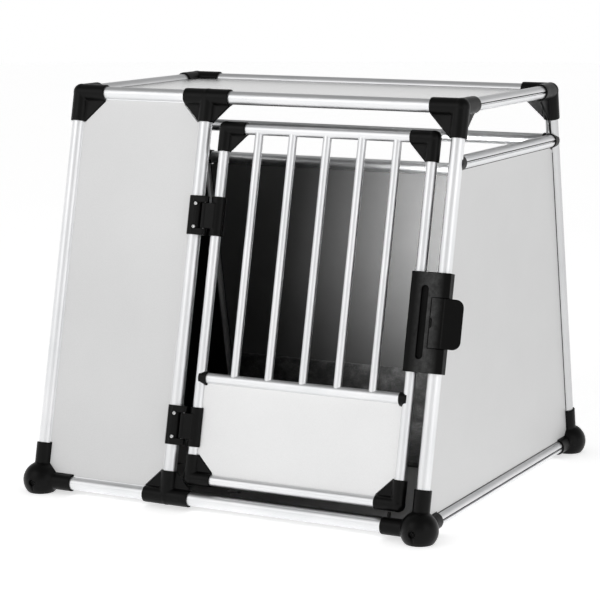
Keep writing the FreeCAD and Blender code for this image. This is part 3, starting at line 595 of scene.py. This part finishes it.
def mat_path(low, high):
    """The mat's upper surface from its front edge to its top, as (y, z, normal) stations."""
    floor_top = low.z + MAT_THICKNESS
    lean = Vector((0, REAR_UP.y, REAR_UP.z))
    out = Vector((0, -lean.z, lean.y))
    rear_foot = Vector((0, HALF_DEPTH, AXIS_HEIGHT))
    face = 0.0115           # from the rear wall's middle to the mat's upper surface
    turn_height = 0.040     # where the mat leaves its bend, up the wall
    turn_depth = 0.030      # where it enters the bend, on the floor
    bend = rear_foot + lean * turn_height + out * face
    crest = rear_foot + lean * ((high.z - AXIS_HEIGHT) / lean.z) + out * face
    knee = Vector((0, bend.y - turn_depth, floor_top))
    stations = []
    flat = 60
    for index in range(flat):
        y = low.y + (knee.y - low.y) * index / flat
        stations.append((Vector((0, y, floor_top)), UP.copy()))
    turns = 10
    corner = Vector((0, bend.y + 0.004, floor_top))
    for index in range(turns):
        part = index / turns
        spot = (knee * (1 - part) + corner * part) * (1 - part) + (corner * (1 - part)
                                                                   + bend * part) * part
        stations.append((spot, (UP * (1 - part) + out * part).normalized()))
    rise = 24
    for index in range(rise + 1):
        stations.append((bend.lerp(crest, index / rise), out.copy()))
    return stations


def floor_mat():
    """A fleece mat on the floor, turned up against the rear wall, with short standing pile."""
    low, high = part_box("floor_mat")
    stations = mat_path(low, high)
    half = high.x - 0.004
    columns = 150

    def lump(x, along):
        return (math.sin(x * 61 + 3 * math.sin(along * 37))
                * math.sin(along * 53 + 2 * math.sin(x * 29))
                + 0.6 * math.sin(x * 190 + along * 130) * math.sin(along * 170 - x * 60))

    lengths = [0.0]
    for first, second in zip(stations, stations[1:]):
        lengths.append(lengths[-1] + (second[0] - first[0]).length)
    total = lengths[-1]

    def surface(x, station):
        """A point on the upper side, its normal, and how thick the mat is there."""
        spot, normal = stations[station]
        along = lengths[station]
        edge = min(half - abs(x), along, total - along) / MAT_EDGE
        full = 1 - (1 - min(max(edge, 0.0), 1.0)) ** 2
        body = MAT_THICKNESS * (0.30 + 0.55 * full) + 0.0008 * lump(x, along) * full
        sag = 0.004 * math.sin(x * 11 + 1) * max(0.0, along - total + 0.12) / 0.12
        drop = normal * (body - MAT_THICKNESS)
        return Vector((x, spot.y, spot.z + sag - 0.003 * (along > total - 0.12))) + drop, normal

    def build(bm):
        rings = []
        for column in range(columns + 1):
            x = -half + 2 * half * column / columns
            upper = [surface(x, index)[0] for index in range(len(stations))]
            lower = []
            for index in range(len(stations) - 1, -1, -2):
                spot, normal = stations[index]
                lower.append(Vector((x, spot.y, spot.z)) - normal * (MAT_THICKNESS - 0.0003))
            rings.append(upper + lower)
        join_rings(bm, rings)
        pile(bm)

    def pile(bm):
        for _ in range(PILE_COUNT):
            x = random.uniform(-half + 0.002, half - 0.002)
            station = int(len(stations) * random.random() ** 0.75)
            foot, normal = surface(x, station)
            along = (stations[min(station + 1, len(stations) - 1)][0] - stations[station][0])
            foot = foot + along * random.random() - normal * 0.0006
            lean = (normal + Vector((random.gauss(0, 0.5), random.gauss(0, 0.4),
                                     random.gauss(-0.1, 0.4)))).normalized()
            length = random.uniform(0.0022, 0.0042)
            wide = random.uniform(0.0004, 0.0008)
            tip = bm.verts.new(foot + lean * length)
            ring = [bm.verts.new(point) for point in ring_points(foot, lean, wide, 3)]
            for index in range(3):
                bm.faces.new((ring[index], ring[(index + 1) % 3], tip))

    mesh = mesh_from("floor_mat_fleece", build)
    piece = new_piece("floor_mat_fleece", mesh, MATERIALS["mat"], "crate")
    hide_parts("floor_mat")


# ---------------------------------------------------------------- panel gaskets
def gasket(bm, start, end, inward, normal):
    """A lip on both faces of a panel where it enters its tube."""
    base = TUBE_RADIUS - 0.0012
    for side in (-1, 1):
        profile = [(base, 0.0018), (TUBE_RADIUS + 0.0014, 0.0019), (TUBE_RADIUS + 0.0011, 0.0027),
                   (TUBE_RADIUS + 0.0002, 0.0030), (base, 0.0030)]
        rings = []
        for point in (start, end):
            rings.append([point + inward * out + normal * off * side for out, off in profile])
        join_rings(bm, rings)


def gaskets():
    """Lips along the slotted edges of the front-left, left, right and rear panels."""
    post_x = middle("upright_door_post").x
    reach_foot, reach_corner, reach_tee, reach_ring = 0.074, 0.058, 0.049, 0.022
    front_low = Vector((0, -HALF_DEPTH, AXIS_HEIGHT))
    front_length = (TOP_HEIGHT - AXIS_HEIGHT) / FRONT_UP.z
    rear_low = Vector((0, HALF_DEPTH, AXIS_HEIGHT))
    panel_low, panel_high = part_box("rail_panel_rear")
    rear_height = ((panel_low.z + panel_high.z) / 2 - AXIS_HEIGHT) / REAR_UP.z
    ring_low, ring_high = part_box("rail_middle_right")
    side_top = (ring_low.z + ring_high.z) / 2
    side_length = side_top - AXIS_HEIGHT

    def front(bm):
        left = front_low - RIGHT * HALF_WIDTH
        post = front_low + RIGHT * post_x
        top = FRONT_UP * front_length
        gasket(bm, left + RIGHT * reach_foot, post - RIGHT * reach_tee, FRONT_UP, FRONT_OUT)
        gasket(bm, left + top + RIGHT * reach_corner, post + top - RIGHT * reach_tee,
               -FRONT_UP, FRONT_OUT)
        gasket(bm, left + FRONT_UP * reach_foot, left + top - FRONT_UP * reach_corner,
               RIGHT, FRONT_OUT)
        gasket(bm, post + FRONT_UP * reach_tee, post + top - FRONT_UP * reach_tee,
               -RIGHT, FRONT_OUT)

    def sides(bm):
        for x, outward in ((-HALF_WIDTH, -RIGHT), (HALF_WIDTH, RIGHT)):
            front_foot = Vector((x, -HALF_DEPTH, AXIS_HEIGHT))
            rear_foot = Vector((x, HALF_DEPTH, AXIS_HEIGHT))
            front_head = front_foot + FRONT_UP * (side_length / FRONT_UP.z)
            rear_head = rear_foot + REAR_UP * (side_length / REAR_UP.z)
            gasket(bm, front_foot + BACK * reach_foot, rear_foot - BACK * reach_foot, UP, outward)
            gasket(bm, front_head + BACK * reach_ring, rear_head - BACK * reach_ring, -UP, outward)
            gasket(bm, front_foot + FRONT_UP * reach_foot, front_head - FRONT_UP * reach_ring,
                   -FRONT_OUT, outward)
            gasket(bm, rear_foot + REAR_UP * reach_foot, rear_head - REAR_UP * reach_ring,
                   -REAR_OUT, outward)

    def rear(bm):
        for x in (-HALF_WIDTH, HALF_WIDTH):
            inward = RIGHT if x < 0 else -RIGHT
            foot = rear_low + RIGHT * x
            gasket(bm, foot + REAR_UP * reach_foot, foot + REAR_UP * (rear_height - reach_ring),
                   inward, REAR_OUT)
        span = RIGHT * (HALF_WIDTH - reach_foot)
        gasket(bm, rear_low - span, rear_low + span, REAR_UP, REAR_OUT)
        span = RIGHT * (HALF_WIDTH - reach_ring)
        top = rear_low + REAR_UP * rear_height
        gasket(bm, top - span, top + span, -REAR_UP, REAR_OUT)

    for name, build in (("gasket_sides", sides), ("gasket_rear", rear)):
        new_piece(name, mesh_from(name, build, False), MATERIALS["lip"], "crate")
    new_piece("panel_lip_front", mesh_from("panel_lip_front", front, False),
              MATERIALS["tube_front"], "crate")


# ---------------------------------------------------------------- painted shade of the grooves in the side tubes
def groove(bm, start, end, outward, half=0.0009, rise=0.00015):
    """A fine dark strip along a tube, on the side that faces outward: painted shade standing in for
    the shadow inside a groove.
    """
    along = (end - start).normalized()
    aside = along.cross(outward).normalized() * half
    rings = []
    for point in (start, end):
        low = point + outward * (TUBE_RADIUS - 0.0006)
        high = point + outward * (TUBE_RADIUS + rise)
        rings.append([low - aside, low + aside, high + aside, high - aside])
    join_rings(bm, rings)


def grooves():
    """Painted shade for the profile groove along each side rail and for the empty panel slot of
    each rear upright.
    """
    tilt = math.radians(8)

    def build(bm):
        for side, name in ((-1, "left"), (1, "right")):
            outward = RIGHT * side * math.cos(tilt) + UP * math.sin(tilt)
            for level in ("bottom", "middle", "top"):
                low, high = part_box(f"rail_{level}_{name}")
                centre = (low + high) / 2
                groove(bm, Vector((centre.x, low.y + 0.001, centre.z)),
                       Vector((centre.x, high.y - 0.001, centre.z)), outward)
            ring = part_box(f"rail_middle_{name}")[1].z + 0.006
            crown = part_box(f"corner_top_rear_{name}")[0].z - 0.001
            foot = Vector((HALF_WIDTH * side, HALF_DEPTH, AXIS_HEIGHT))
            start, end = (foot + REAR_UP * ((z - AXIS_HEIGHT) / REAR_UP.z) for z in (ring, crown))
            groove(bm, start, end, -REAR_OUT, half=0.0016)

    # Painted shade: the black sill rubber on these strips stands in for the shadow in the grooves
    # and slots.
    new_piece("tube_grooves", mesh_from("tube_grooves", build, False), MATERIALS["rubber"],
              "crate")


dress_nodes()
frame_screws()
soften_connectors()
floor_mat()
gaskets()
grooves()
stage()
camera()
